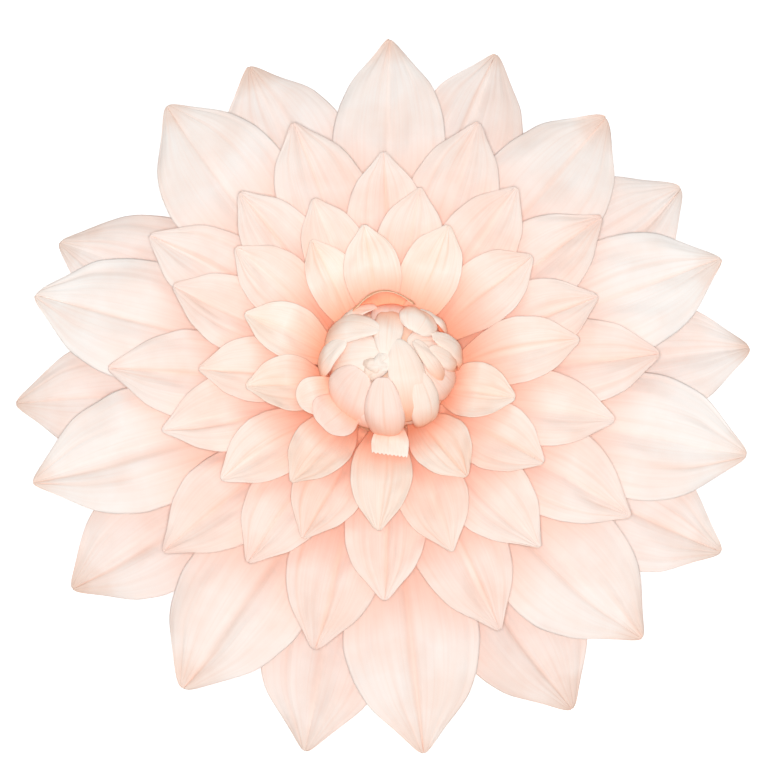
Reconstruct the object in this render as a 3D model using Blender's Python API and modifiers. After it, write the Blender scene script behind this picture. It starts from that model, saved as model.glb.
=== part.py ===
"""A giant paper dahlia, 0.5 m across, that lies on its flat back or hangs from it.

Six rings of creased paper petals are glued by their root tabs to the ledges of one stepped
core of stacked card, widest ring lowest. The core's domed top carries the half-open bud.
"""

import math
from functools import partial
from typing import NamedTuple

import bmesh
import bpy
from mathutils import Vector

# Lengths are in metres, angles in degrees. A turn is counted clockwise from +Y, seen from above.
MM = 0.001
PAPER = 0.0006  # thickness of a ring petal
GLUE_GAP = 0.0003  # between a root tab and the ledge under it
WALL_GAP = 0.0018  # between a root tab and the wall behind it
TAB = 0.008  # length of the flat root tab
TIP_WIDTH = 0.003  # the tips are nipped off, not sharp
PETALS_A_RING = 10
RISE_PER_MM = 1.5  # degrees that a petal's blade leaves its tab steeper for each mm of extra height
ROOT_FOLLOWS = 0.5  # share of a tip's stray from its even place that its root takes too
TIP_CROWDING = 1.4  # more than 1 sets the rows closer towards the tip
ROOT_SLENDERNESS = 1.15  # more than 1 keeps the blade narrow for longer above its root
CREASE_HALF_WIDTH = 0.34  # of the petal's half width, that the centre fold takes

CARD_COLOUR = (0.98, 0.82, 0.72)
CORE_SIDES = 20
NECK_RADIUS = 0.028
DOME_RADIUS = 0.042
DOME_CENTRE = 0.075  # height of the dome's widest level
DOME_RISE = 0.025  # from there to its top
DOME_DROP = 0.006  # from there to its underside
DOME_UNDERCUT = 0.004  # by which the underside is narrower
DOME_STEPS = 4
SAME_POINT = 0.00005  # the turned outline's ends on the axis merge within this

BUD_MIDDLE = Vector((0.004, 0.001, DOME_CENTRE))
BUD_RADIUS = DOME_RADIUS + 0.001  # of the dome with its first layer of petals on
BUD_RISE = DOME_RISE + 0.002
BUD_LAYER = 0.0015  # height of each layer over the last
BUD_DEPTH = 0.009  # from a pressed petal's face down into the dome
BUD_PAPER = 0.0012  # thickness of a petal that stands free
BUD_ROOT_SHARE = 0.45  # of a bud petal's width
BUD_SWELL = 0.0016  # that a pressed petal's middle stands over its edges
BUD_TUCK = 0.0020  # that its root is tucked under
TUCKED_SHARE = 0.25  # of its length that is under


class Petal(NamedTuple):
    """The outline and the folds of one petal, in its own frame: +Y along it, +Z its upper face."""

    rise: float  # slope where the blade leaves the tab
    droop: float  # slope at the tip
    root_width: float
    width: float
    widest: float  # share of the blade at which it is widest
    bluntness: float  # 1 is a pointed tip, and less is rounder
    cup: float  # how far the edges stand over the centre line
    puff: float  # how far each half swells between centre line and edge
    crease: float  # depth of the centre fold
    tab: float = TAB
    pull: float = 0.38  # length of the centre line's handles, as a share of its chord
    columns: int = 4
    rows: int = 5
    length: float = 0.0  # level distance from the root's end to the tip
    height: float = 0.0  # of the tip over the root
    tip_width: float = TIP_WIDTH


class Ring(NamedTuple):
    """One ring of petals, glued to one ledge of the core."""

    name: str
    colour: tuple
    ledge_radius: float  # outer edge of the ledge
    ledge_height: float
    reach: float  # of the tips, from the flower's axis
    tip_height: float
    first_root: float  # turn of the first root; the others follow at equal steps
    shape: Petal  # its length and height are worked out later, for each petal
    tips: tuple  # each petal's own turn, and in mm its extra reach, height and width


BACK = Ring(
    name="back_petal", colour=(0.93, 0.84, 0.81), ledge_radius=0.090, ledge_height=0.003,
    reach=0.254, tip_height=0.008, first_root=18,
    shape=Petal(rise=8, droop=-9, root_width=0.028, width=0.080, widest=0.58, bluntness=0.62,
                cup=-0.003, puff=0.0028, crease=0.0018, rows=6),
    tips=((18, 3, 0, -2), (55, -1, 4, 6), (83, 1, 0, 0), (116, 2, 0, 4), (150, 0, 0, 8),
          (192, 0, 0, 6), (237, -1, 0, 4), (268, 0, 0, 0), (295, -5, 5, 5), (338, 0, 0, 8)),
)
OUTER = Ring(
    name="outer_petal", colour=(0.95, 0.85, 0.81), ledge_radius=0.074, ledge_height=0.014,
    reach=0.249, tip_height=0.024, first_root=0,
    shape=Petal(rise=19, droop=-11, root_width=0.025, width=0.086, widest=0.58, bluntness=0.62,
                cup=-0.003, puff=0.0030, crease=0.0020, rows=7),
    tips=((1, 1, 0, -8), (39, -2, 0, 2), (69, 0, 5, -2), (101, 3, 0, 4), (135, -3, 0, 4),
          (174, 4, 0, 6), (213, -1, 0, 4), (254, -1, 5, 0), (285, 0, 0, 0), (323, 3, 0, 4)),
)
MIDDLE = Ring(
    name="middle_petal", colour=(0.96, 0.85, 0.80), ledge_radius=0.064, ledge_height=0.026,
    reach=0.190, tip_height=0.050, first_root=18,
    shape=Petal(rise=30, droop=-4, root_width=0.021, width=0.060, widest=0.55, bluntness=0.70,
                cup=0.001, puff=0.0026, crease=0.0016, rows=6),
    tips=((20, 2, 0, 0), (53, -3, 0, 0), (85, -2, 0, 0), (120, 1, 0, 2), (156, -1, 0, 0),
          (194, 1, 0, 2), (231, 0, 0, 2), (272, -3, 0, 0), (302, -1, 0, -2), (341, 1, 0, 2)),
)
INNER = Ring(
    name="inner_petal", colour=(0.97, 0.85, 0.79), ledge_radius=0.054, ledge_height=0.038,
    reach=0.156, tip_height=0.065, first_root=0,
    shape=Petal(rise=35, droop=-2, root_width=0.018, width=0.051, widest=0.56, bluntness=0.72,
                cup=0.003, puff=0.0020, crease=0.0014, rows=6),
    tips=((0, -1, 0, 0), (35, 2, 0, 0), (70, -2, 0, 0), (102, 2, 0, 0), (139, 2, 0, 2),
          (180, -1, 0, 2), (215, 2, 0, 2), (255, -2, 0, 0), (293, -1, 0, -2), (322, 4, 0, -2)),
)
UPPER = Ring(
    name="upper_petal", colour=(0.98, 0.84, 0.77), ledge_radius=0.044, ledge_height=0.049,
    reach=0.129, tip_height=0.075, first_root=18,
    shape=Petal(rise=38, droop=0, root_width=0.014, width=0.044, widest=0.57, bluntness=0.72,
                cup=0.004, puff=0.0014, crease=0.0012),
    tips=((11, 0, 0, 0), (52, -2, 0, 0), (81, 4, 0, 0), (121, -5, 0, 2), (160, 3, 0, 2),
          (205, -2, 0, 2), (235, 3, 0, 0), (270, -5, 0, 0), (310, 2, 0, 0), (338, -1, 0, -2)),
)
COLLAR = Ring(
    name="collar_petal", colour=(0.98, 0.83, 0.75), ledge_radius=0.036, ledge_height=0.059,
    reach=0.099, tip_height=0.084, first_root=0,
    shape=Petal(rise=38, droop=4, root_width=0.014, width=0.038, widest=0.54, bluntness=0.66,
                cup=0.005, puff=0.0010, crease=0.0010, tab=0.006),
    tips=((352, -2, 6, 0), (24, 8, -1, 2), None, (104, -9, 0, 0), (144, -6, 0, 1),
          (182, 13, 3, 2), (218, 1, 0, 1), (261, -6, 3, 0), (291, 1, 0, -1), (331, 2, -4, -4)),
)
RINGS = (BACK, OUTER, MIDDLE, INNER, UPPER, COLLAR)


class Pressed(NamedTuple):
    """One bud petal that is pressed on the dome. Its root and its tip are given by their turn
    and by their tilt, in degrees from the dome's top."""

    root: tuple
    tip: tuple
    width: float
    layer: int  # the petals of layer 0 lie lowest
    bluntness: float = 0.62


class Free(NamedTuple):
    """One bud petal that stands free of the dome."""

    turn: float
    width: float
    tip_width: float
    cup: float
    points: tuple  # of its centre line, outwards from the dome's side and up from its widest level


PRESSED = (
    Pressed(root=(5, 88), tip=(357, 26), width=0.030, layer=0),
    Pressed(root=(272, 84), tip=(322, 8), width=0.036, layer=0),
    Pressed(root=(75, 80), tip=(48, 22), width=0.028, layer=0),
    Pressed(root=(2, 62), tip=(290, 4), width=0.020, layer=1),
    Pressed(root=(200, 94), tip=(225, 44), width=0.034, layer=1),
    Pressed(root=(112, 94), tip=(92, 31), width=0.030, layer=1),
    Pressed(root=(308, 95), tip=(345, 60), width=0.024, layer=2),
    Pressed(root=(58, 94), tip=(30, 70), width=0.020, layer=2),
    Pressed(root=(115, 60), tip=(52, 27), width=0.012, layer=2),
    Pressed(root=(160, 70), tip=(20, 18), width=0.026, layer=2),
    Pressed(root=(222, 94), tip=(246, 27), width=0.038, layer=2, bluntness=0.45),
    Pressed(root=(292, 93), tip=(340, 27), width=0.023, layer=3),
    Pressed(root=(30, 68), tip=(42, 33), width=0.027, layer=3, bluntness=0.40),
    Pressed(root=(263, 93), tip=(294, 44), width=0.019, layer=3),
    Pressed(root=(93, 75), tip=(76, 36), width=0.014, layer=3),
    Pressed(root=(152, 93), tip=(117, 26), width=0.021, layer=3),
    Pressed(root=(181, 94), tip=(200, 18), width=0.025, layer=4, bluntness=0.50),
    Pressed(root=(88, 92), tip=(60, 44), width=0.016, layer=4),
)
FREE = (
    Free(turn=354, width=0.042, tip_width=0.036, cup=0.011,
         points=((-0.009, 0.000), (0.012, -0.003), (0.007, 0.017), (0.0035, 0.025))),
    Free(turn=226, width=0.034, tip_width=0.010, cup=0.002,
         points=((-0.011, 0.001), (0.003, 0.009), (0.012, 0.014), (0.020, 0.015))),
    Free(turn=246, width=0.027, tip_width=0.006, cup=0.002,
         points=((-0.011, 0.001), (0.005, 0.010), (0.015, 0.015), (0.024, 0.017))),
    Free(turn=180, width=0.025, tip_width=0.022, cup=0.001,
         points=((-0.009, -0.001), (0.005, 0.008), (0.014, 0.011), (0.021, 0.010))),
)
BUD_SHAPE = Petal(rise=0, droop=0, root_width=0, width=0, widest=0.60, bluntness=0.60,
                  cup=0, puff=0, crease=0, tab=0, rows=4)
PRESSED_COLUMNS = 4
PRESSED_ROWS = 5
PRESSED_WIDEST = 0.50


def bezier(points, share):
    """Point and slope, in radians, of a cubic curve in a level and a height direction."""
    a, b, c, d = (Vector(p) for p in points)
    rest = 1 - share
    place = a * rest**3 + b * 3 * rest**2 * share + c * 3 * rest * share**2 + d * share**3
    heading = (b - a) * rest**2 + (c - b) * 2 * rest * share + (d - c) * share**2
    return place, math.atan2(heading.y, heading.x)


def arm(angle, length):
    """A step of this length at this angle over the level."""
    return Vector((math.cos(math.radians(angle)), math.sin(math.radians(angle)))) * length


def half_width(petal, share):
    """Half of the blade's width: it swells from the root to its widest place, then narrows."""
    if share < petal.widest:
        end = petal.root_width / 2
        swell = math.sin(math.pi / 2 * share / petal.widest) ** ROOT_SLENDERNESS
    else:
        end = petal.tip_width / 2
        swell = math.sin(math.pi / 2 * (1 - share) / (1 - petal.widest)) ** petal.bluntness
    return end + (petal.width / 2 - end) * swell


def fold(petal, across):
    """Height of the folded sheet over its centre line, from -1 to 1 across it."""
    side = abs(across)
    valley = max(0.0, 1 - side / CREASE_HALF_WIDTH)
    return petal.cup * side**2 + petal.puff * math.sin(math.pi * side) - petal.crease * valley


def centre_line(petal):
    """The four points of the blade's curve, from the tab's end to the tip."""
    start, end = Vector((petal.tab, 0)), Vector((petal.length, petal.height))
    handle = petal.pull * (end - start).length
    return start, start + arm(petal.rise, handle), end - arm(petal.droop, handle), end


def surface_point(petal, curve, across, row):
    """A point of the sheet. Row 0 is the root's end, row 1 the end of the flat tab."""
    first_row = 1 if petal.tab else 0
    if row < first_row:
        return Vector((across * petal.root_width / 2, 0, 0))
    share = 1 - (1 - (row - first_row) / (petal.rows - first_row)) ** TIP_CROWDING
    place, slope = bezier(curve, share)
    half = half_width(petal, share)
    opening = min(1.0, share / petal.widest)  # the tab is flat and the folds open from it
    lift = fold(petal, across) * opening * half / (petal.width / 2)
    return Vector((across * half, place.x - lift * math.sin(slope), place.y + lift * math.cos(slope)))


def sheet(name, columns, rows, surface):
    """A sheet with no thickness: a grid whose points go where the surface puts their place
    across, from -1 to 1, and their row."""
    made = bmesh.new()
    bmesh.ops.create_grid(made, x_segments=columns, y_segments=rows, size=0.5)
    for vertex in made.verts:
        across, row = 2 * vertex.co.x, (vertex.co.y + 0.5) * rows
        vertex.co = surface(across, row)
    mesh = bpy.data.meshes.new(name)
    made.to_mesh(mesh)
    made.free()
    mesh.shade_smooth()
    return mesh


def petal_sheet(name, petal, curve):
    return sheet(name, petal.columns, petal.rows, partial(surface_point, petal, curve))


def thicken(piece, thickness, offset=0):
    """Gives the sheet its thickness: half to each side, or with an offset of -1 all under it."""
    modifier = piece.modifiers.new("paper", "SOLIDIFY")
    modifier.thickness = thickness
    modifier.offset = offset


def material(name, colour, roughness):
    made = bpy.data.materials.new(name)
    made.use_nodes = True
    shader = made.node_tree.nodes["Principled BSDF"]
    shader.inputs["Base Color"].default_value = (*colour, 1)
    shader.inputs["Roughness"].default_value = roughness
    return made


def around(radius, turn):
    """The place at this distance from the flower's axis and at this turn."""
    return Vector((radius * math.sin(math.radians(turn)), radius * math.cos(math.radians(turn)), 0))


def root_distance(ring, wall_radius, root_turn, end):
    """How far from the axis a leaning petal's root stands, so that its tab clears the wall."""
    root = around(wall_radius, root_turn)
    lean = root.angle(end - root)
    return wall_radius + WALL_GAP + math.sin(lean) * ring.shape.root_width / 2


def ring_petals(ring, wall_radius, collection):
    """All petals of a ring. Each leans a little from its even place towards its tip's."""
    paper = material(ring.name + "_paper", ring.colour, 0.7)
    for index, tip in enumerate(ring.tips):
        if tip is None:  # this place on the ledge is empty
            continue
        turn, extra_reach, extra_height, extra_width = tip
        even_turn = ring.first_root + index * 360 / PETALS_A_RING
        stray = (turn - even_turn + 180) % 360 - 180
        root_turn = even_turn + ROOT_FOLLOWS * stray
        end = around(ring.reach + extra_reach * MM, turn)
        root = around(root_distance(ring, wall_radius, root_turn, end), root_turn)
        root.z = ring.ledge_height + GLUE_GAP + PAPER / 2
        way = Vector((end.x - root.x, end.y - root.y))
        petal = ring.shape._replace(
            length=way.length,
            height=ring.tip_height + extra_height * MM - root.z,
            width=ring.shape.width + extra_width * MM,
            rise=ring.shape.rise + extra_height * RISE_PER_MM,
        )
        name = f"{ring.name}_{index + 1:02d}"
        piece = bpy.data.objects.new(name, petal_sheet(name, petal, centre_line(petal)))
        piece.location = root
        piece.rotation_euler.z = -math.atan2(way.x, way.y)
        piece.data.materials.append(paper)
        thicken(piece, PAPER)
        collection.objects.link(piece)


def core_profile():
    """The core's outline from the top of its dome down its outer side to the centre of its back."""
    dome = []
    for step in range(DOME_STEPS + 1):
        angle = math.pi / 2 * (1 - step / DOME_STEPS)
        dome.append((DOME_RADIUS * math.cos(angle), DOME_CENTRE + DOME_RISE * math.sin(angle)))
    under = DOME_CENTRE - DOME_DROP
    steps = [(DOME_RADIUS - DOME_UNDERCUT, under), (NECK_RADIUS, under)]
    inner_edge = NECK_RADIUS
    for ring in reversed(RINGS):
        steps += [(inner_edge, ring.ledge_height), (ring.ledge_radius, ring.ledge_height)]
        inner_edge = ring.ledge_radius
    return dome + steps + [(inner_edge, 0), (0, 0)]


def towards(turn, tilt):
    """The unit vector with this turn and this tilt from straight up."""
    return around(math.sin(math.radians(tilt)), turn) + Vector((0, 0, math.cos(math.radians(tilt))))


def pressed_point(spec, across, row):
    """A point of a petal that is pressed on the dome. Its middle line is the shortest way over a
    ball from its root to its tip. The ball is then stretched to the dome's width and height."""
    share = 1 - (1 - row / PRESSED_ROWS) ** TIP_CROWDING
    root, tip = towards(*spec.root), towards(*spec.tip)
    line = root.slerp(tip, share)
    shape = BUD_SHAPE._replace(
        width=spec.width,
        root_width=BUD_ROOT_SHARE * spec.width,
        widest=PRESSED_WIDEST,
        bluntness=spec.bluntness,
    )
    aside = across * half_width(shape, share) / BUD_RADIUS
    direction = line * math.cos(aside) + tip.cross(root).normalized() * math.sin(aside)
    swell = BUD_SWELL * (1 - across**2) * math.sin(math.pi * share)
    tuck = BUD_TUCK * max(0.0, 1 - share / TUCKED_SHARE)
    lift = spec.layer * BUD_LAYER + swell - tuck
    stretch = Vector((BUD_RADIUS + lift, BUD_RADIUS + lift, BUD_RISE + lift))
    return BUD_MIDDLE + direction * stretch


def pressed_petal(name, spec):
    """A pressed petal as a thick plate that reaches down into the dome."""
    surface = partial(pressed_point, spec)
    piece = bpy.data.objects.new(name, sheet(name, PRESSED_COLUMNS, PRESSED_ROWS, surface))
    thicken(piece, BUD_DEPTH, offset=-1)
    return piece


def free_petal(name, spec):
    """A petal that stands free of the dome but for its root."""
    shape = BUD_SHAPE._replace(
        width=spec.width,
        root_width=BUD_ROOT_SHARE * spec.width,
        tip_width=spec.tip_width,
        cup=spec.cup,
    )
    curve = [(BUD_RADIUS + outwards, up) for outwards, up in spec.points]
    piece = bpy.data.objects.new(name, petal_sheet(name, shape, curve))
    piece.location = BUD_MIDDLE
    piece.rotation_euler.z = -math.radians(spec.turn)
    thicken(piece, BUD_PAPER)
    return piece


def fill_cavities(piece):
    """Applies the modifiers and keeps the outermost skin only, so that closed pockets are solid."""
    evaluated = piece.evaluated_get(bpy.context.evaluated_depsgraph_get())
    mesh = bpy.data.meshes.new_from_object(evaluated)
    skin = bmesh.new()
    skin.from_mesh(mesh)
    highest = max(skin.verts, key=lambda vertex: vertex.co.z)
    outer, waiting = {highest}, [highest]
    while waiting:
        for edge in waiting.pop().link_edges:
            for vertex in edge.verts:
                if vertex not in outer:
                    outer.add(vertex)
                    waiting.append(vertex)
    inner = [vertex for vertex in skin.verts if vertex not in outer]
    bmesh.ops.delete(skin, geom=inner, context="VERTS")
    skin.to_mesh(mesh)
    skin.free()
    piece.modifiers.clear()
    piece.data = mesh


def core(collection, guides):
    """The stepped card core, turned from its outline, with the bud's petals joined to its dome."""
    outline = core_profile()
    mesh = bpy.data.meshes.new("flower_core")
    links = [(i, i + 1) for i in range(len(outline) - 1)]
    mesh.from_pydata([(radius, 0, height) for radius, height in outline], links, [])
    piece = bpy.data.objects.new("flower_core", mesh)
    piece.data.materials.append(material("core_card", CARD_COLOUR, 0.8))
    turned = piece.modifiers.new("turned", "SCREW")
    turned.steps = turned.render_steps = CORE_SIDES
    turned.use_merge_vertices = True
    turned.merge_threshold = SAME_POINT
    collection.objects.link(piece)
    petals = [pressed_petal(f"pressed_petal_{i}", spec) for i, spec in enumerate(PRESSED, 1)]
    petals += [free_petal(f"free_petal_{i}", spec) for i, spec in enumerate(FREE, 1)]
    for petal in petals:
        petal.hide_render = True
        petal.display_type = "WIRE"
        guides.objects.link(petal)
        joined = piece.modifiers.new(petal.name, "BOOLEAN")
        joined.operation = "UNION"
        joined.solver = "MANIFOLD"
        joined.object = petal
    fill_cavities(piece)


def build():
    for old in list(bpy.data.objects):
        bpy.data.objects.remove(old)
    flower = bpy.data.collections.new("giant paper dahlia")
    guides = bpy.data.collections.new("bud petals to join")
    bpy.context.scene.collection.children.link(flower)
    bpy.context.scene.collection.children.link(guides)
    core(flower, guides)
    walls = [ring.ledge_radius for ring in RINGS[1:]] + [NECK_RADIUS]
    for ring, wall in zip(RINGS, walls):
        ring_petals(ring, wall, flower)


build()
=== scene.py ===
"""A giant paper dahlia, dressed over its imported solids.

Six rings of creased paper petals are glued to the ledges of a core of stacked card, and the
core's dome carries the half-open bud. Each section below is one stage of putting it together.
Lengths are in metres, and a turn is counted clockwise from +Y, seen from above.
"""

import math
from typing import NamedTuple

import bpy
import numpy as np
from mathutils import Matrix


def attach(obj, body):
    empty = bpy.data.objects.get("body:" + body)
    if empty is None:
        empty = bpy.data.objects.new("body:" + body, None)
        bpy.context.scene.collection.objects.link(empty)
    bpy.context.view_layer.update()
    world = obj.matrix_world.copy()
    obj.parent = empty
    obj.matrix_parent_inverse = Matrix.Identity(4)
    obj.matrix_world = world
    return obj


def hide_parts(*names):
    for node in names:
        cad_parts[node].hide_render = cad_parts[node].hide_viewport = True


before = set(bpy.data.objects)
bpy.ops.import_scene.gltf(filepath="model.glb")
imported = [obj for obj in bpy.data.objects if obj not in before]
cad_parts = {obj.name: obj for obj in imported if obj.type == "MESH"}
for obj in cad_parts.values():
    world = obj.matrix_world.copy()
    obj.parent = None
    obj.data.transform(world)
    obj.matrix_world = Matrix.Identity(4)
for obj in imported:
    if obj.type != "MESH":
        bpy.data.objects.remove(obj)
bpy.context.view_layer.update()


# The stacked core.
# Round boards of 2 mm card are glued into a stepped cone, and each step is one ledge for a ring
# of petals. The boards are painted the flower's peach. The lowest one is the flat back.

LEDGES = (  # each one's outer radius and its height, from the lowest up
    (0.090, 0.003), (0.074, 0.014), (0.064, 0.026), (0.054, 0.038), (0.044, 0.049), (0.036, 0.059),
)
BOARD = 0.002  # thickness
BOARD_ROUNDING = 0.0003  # the cut edge of a board is soft
NECK_RADIUS, NECK_TOP = 0.028, 0.069
CORE_SIDES = 96
CARD, CARD_EDGE = (0.95, 0.54, 0.34), (0.86, 0.42, 0.22)
CARD_MOTTLE, CARD_FIBRE = (0.88, 0.44, 0.26), (0.97, 0.72, 0.56)
MOTTLE_SCALE, CARD_FIBRE_SCALE = 45, 900  # noise spots in a metre
GLOSS = 0.1  # paper and card hardly shine
MIX_INPUTS, MIX_RESULT = (0, 6, 7), 2  # a colour Mix node's share and two colours, its result


def mesh_piece(name, places, faces, surface):
    """A mesh object at the origin that rides on the flower, from vertex places and faces."""
    mesh = bpy.data.meshes.new(name)
    mesh.from_pydata(places.reshape(-1, 3), [], faces)
    mesh.shade_smooth()
    mesh.materials.append(surface)
    made = bpy.data.objects.new(name, mesh)
    bpy.context.scene.collection.objects.link(made)
    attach(made, "root")
    return made


def turned(name, outline, sides, surface):
    """An outline of (distance from the axis, height) carried round +Z in equal steps. It runs
    from the axis at the top, down the outside, and ends on the axis at the back."""
    outline = np.asarray(outline, float)
    turn = np.arange(sides) * 2 * np.pi / sides
    walls = outline[1:-1]
    rings = np.stack(
        [walls[:, :1] * np.sin(turn), walls[:, :1] * np.cos(turn), walls[:, 1:] + 0 * turn], -1
    )
    poles = [[0, 0, outline[0, 1]], [0, 0, outline[-1, 1]]]
    here = np.arange(len(walls) * sides).reshape(len(walls), sides)
    beside = np.roll(here, -1, axis=1)
    sheets = np.stack([here[:-1], beside[:-1], beside[1:], here[1:]], -1).reshape(-1, 4)
    top, back = here.size, here.size + 1
    caps = [(top, b, a) for a, b in zip(here[0], beside[0])]
    caps += [(back, a, b) for a, b in zip(here[-1], beside[-1])]
    places = np.concatenate([rings.reshape(-1, 3), poles])
    return mesh_piece(name, places, sheets.tolist() + caps, surface)


def add(tree, kind, inputs, **settings):
    """Adds a shader node. An input that is given a socket is linked, any other is set."""
    made = tree.nodes.new("ShaderNode" + kind)
    for setting, value in settings.items():
        setattr(made, setting, value)
    for socket, value in inputs.items():
        if isinstance(value, bpy.types.NodeSocket):
            tree.links.new(value, made.inputs[socket])
        else:
            made.inputs[socket].default_value = value
    return made


def finish(name, roughness):
    """A new material, its node tree and its shader."""
    made = bpy.data.materials.new(name)
    made.use_nodes = True
    shader = made.node_tree.nodes["Principled BSDF"]
    shader.inputs["Roughness"].default_value = roughness
    shader.inputs["Specular IOR Level"].default_value = GLOSS
    return made, made.node_tree, shader


def blended(tree, share, plain, changed, mode="MIX"):
    """A colour that goes from plain to changed as share goes from 0 to 1."""
    made = add(tree, "Mix", {}, data_type="RGBA", blend_type=mode)
    for index, value in zip(MIX_INPUTS, (share, plain, changed)):
        socket = made.inputs[index]
        if isinstance(value, bpy.types.NodeSocket):
            tree.links.new(value, socket)
        else:
            socket.default_value = (*value, 1) if isinstance(value, tuple) else value
    return made.outputs[MIX_RESULT]


def spread(tree, value, low, high, to_low=0.0, to_high=1.0):
    """A value stretched from the range low to high onto another one, and held at its ends."""
    return add(
        tree, "MapRange",
        {"Value": value, "From Min": low, "From Max": high, "To Min": to_low, "To Max": to_high},
    ).outputs[0]


def painted_card():
    """Peach paint on pulp board: mottled by a broad noise, with the fibres of a fine one. The
    boards' upright edges are deeper in colour than their level faces."""
    made, tree, shader = finish("painted_card", 0.8)
    place = add(tree, "TexCoord", {}).outputs["Object"]
    broad = add(tree, "TexNoise", {"Vector": place, "Scale": MOTTLE_SCALE, "Detail": 4}).outputs[0]
    fine = {"Vector": place, "Scale": CARD_FIBRE_SCALE, "Detail": 3}
    fibres = add(tree, "TexNoise", fine).outputs[0]
    normal = add(tree, "NewGeometry", {}).outputs["Normal"]
    upwards = add(tree, "SeparateXYZ", {"Vector": normal}).outputs[2]
    level = add(tree, "Math", {0: upwards}, operation="ABSOLUTE").outputs[0]
    colour = blended(tree, spread(tree, level, 0.3, 0.8), CARD_EDGE, CARD)
    colour = blended(tree, spread(tree, broad, 0.35, 0.7, 0, 0.25), colour, CARD_MOTTLE)
    colour = blended(tree, spread(tree, fibres, 0.45, 0.75, 0, 0.2), colour, CARD_FIBRE)
    tree.links.new(colour, shader.inputs["Base Color"])
    tree.links.new(spread(tree, broad, 0.3, 0.7, 0.72, 0.88), shader.inputs["Roughness"])
    bump = add(tree, "Bump", {"Height": fibres, "Strength": 0.4, "Distance": 0.0004})
    tree.links.new(bump.outputs[0], shader.inputs["Normal"])
    return made


def stacked_boards():
    """The core's outline from its neck down to its back. Each board's edge goes in by the
    rounding at its top and bottom, so that the glue lines show as fine grooves."""
    outline = [(0, NECK_TOP), (NECK_RADIUS, NECK_TOP), (NECK_RADIUS, LEDGES[-1][1])]
    floor_heights = [0] + [height for _, height in LEDGES[:-1]]
    for (radius, top), bottom in zip(LEDGES[::-1], floor_heights[::-1]):
        boards = max(1, round((top - bottom) / BOARD))
        edges = np.linspace(top, bottom, boards + 1)
        for upper, lower in zip(edges[:-1], edges[1:]):
            outline += [
                (radius - BOARD_ROUNDING, upper), (radius, upper - BOARD_ROUNDING),
                (radius, lower + BOARD_ROUNDING), (radius - BOARD_ROUNDING, lower),
            ]
    return outline + [(0, 0)]


stack = turned("card_stack", stacked_boards(), CORE_SIDES, painted_card())
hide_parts("flower_core")


# The outermost ring of petals.
# Ten wide pointed petals are cut from soft matte paper, pleated lengthways by hand and nipped
# at the tip. Each is glued by its flat root tab to the core's lowest ledge. Their backs, like
# those of all the petals, are coloured a deeper peach as painted shade.

TAB = 0.008  # length of the flat root tab, glued down
PAPER = 0.0004  # thickness of one sheet
TIP_WIDTH = 0.003
HANDLE = 0.38  # of the petal's chord, from either end to where its curve is pulled
PINCHED_FROM, TIP_PINCH = 0.8, 0.3  # of the length, and by what share the tip is then drawn in
ROOT_SLENDERNESS = 1.15  # more than 1 keeps the blade narrow for longer above its root
ROW_CROWDING = 1.35  # more than 1 sets the grid's rows closer towards the tip
CREASE_HALF_WIDTH = 0.34  # of the half width, that the valley along the middle takes
CREASE_LINES = (  # each hand crease's place across the petal, and its strength
    (0, 1.0), (-0.27, 0.7), (0.31, 0.7), (-0.55, 0.6), (0.58, 0.6), (-0.8, 0.35), (0.8, 0.35),
)
CREASE_STRAY, CREASE_WANDER = 0.09, 0.05  # of the half width
CREASE_REACH = (0.05, 0.11)  # of the half width, from the line to either side
BLUNTNESS_STRAY = (-0.05, 0.09)  # no two tips are cut quite alike
NIPPED_FROM, NIPPED_TO = 0.45, 0.95  # of the length, where the fold up to the tip grows
NIP_HINGE = 0.4  # of the half width, about which a half is folded up
NIP_STRAY = (0.6, 1.4)
FINE_PLEATS = 0.16  # of the side creases' depth
TWIST = 4  # degrees, at the tip
BOW = 0.012  # of the length, that the middle line bends to the side
RAGGED = 0.02  # of the half width
RISE_PER_MM = 1.5  # degrees that the blade leaves its tab steeper for each mm of extra height
END_DEPTH = 0.0005  # points within this of a solid's inner or outer end are its root or its tip
ROOT_UP_TO, BODY_FROM, BODY_TO = 0.12, 0.5, 0.8  # of its length, where a petal has each colour
COLOUR_STRAY = 0.06  # of its length, by which the cloud moves these places
CLOUD_SCALE, FIBRE_SCALE = 26, 800  # noise spots in a metre
STREAK_SCALE = (30, 1.5, 1)  # noise spots across the petal and along it
# a pinker, darker colour: a random dye, and painted shade on the petals that point to the near side
PINK_DYE_AND_SHADE = (0.95, 0.88, 0.85)
BACK_PAINTED_SHADE = (0.99, 0.82, 0.70)  # painted shade: every sheet's back is coloured deeper, which warms the shade between petals


class Cut(NamedTuple):
    """How the petals of one ring are cut and folded. Folds are in metres."""

    tip_height: float
    rise: float  # degrees
    droop: float
    root_width: float
    widest: float
    bluntness: float
    cup: float
    puff: float
    crease: float
    fullness: float  # the CAD solid's widest row is a little narrower than its true width
    pleats: float  # depth of the side creases
    crumple: float
    flutter: float
    nip: float  # how far the halves are folded up from the middle at the tip
    tab: float = TAB
    rows: int = 56
    columns: int = 64


class Lie(NamedTuple):
    """Where a petal lies, measured on its solid."""

    root: np.ndarray
    along: np.ndarray  # level unit vector from the root to the tip
    length: float
    height: float
    width: float


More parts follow.
